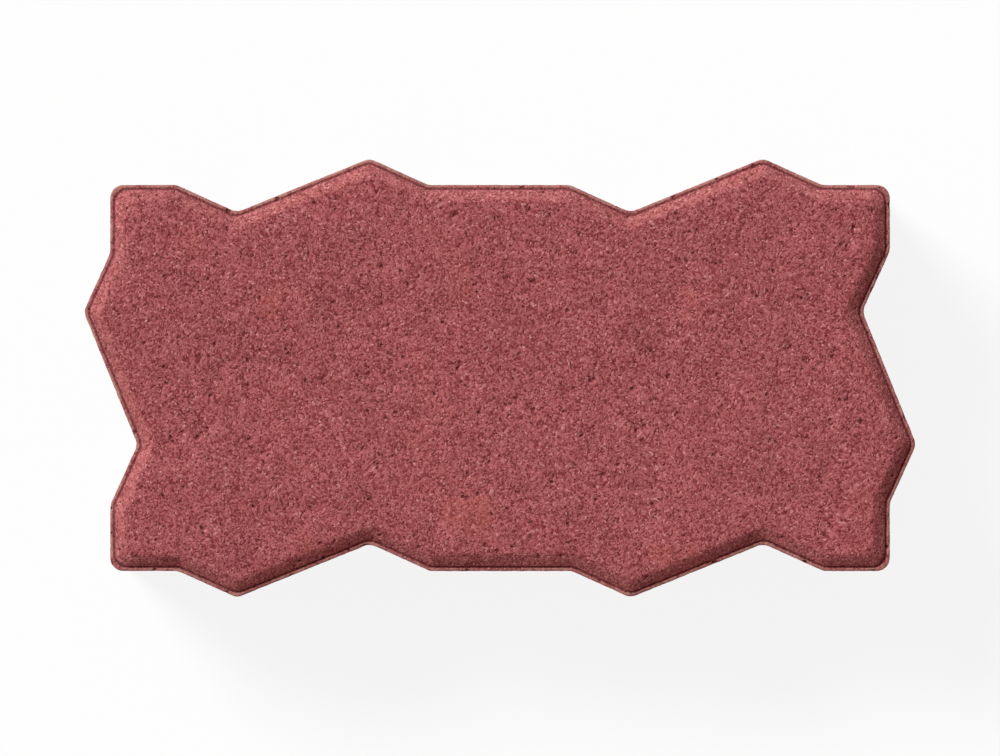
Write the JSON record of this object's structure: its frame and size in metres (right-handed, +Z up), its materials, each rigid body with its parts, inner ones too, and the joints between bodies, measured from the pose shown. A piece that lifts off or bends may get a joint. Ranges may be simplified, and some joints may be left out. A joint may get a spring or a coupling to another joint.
{
  "type": "concrete paving stone",
  "caption": "Interlocking concrete paving stone with a zigzag outline, plumb walls and a bevelled wearing face, coloured red.",
  "frame": {"origin": "centre of the bed face", "axes": "+X along the stone, +Y across it towards the edge that is uppermost in the picture, +Z up out of the wearing face"},
  "size_m": [0.238, 0.1254, 0.06],
  "materials": {
    "red_concrete": "matte"
  },
  "bodies": {
    "root": {"paving_stone": "red_concrete"}
  },
  "joints": []
}
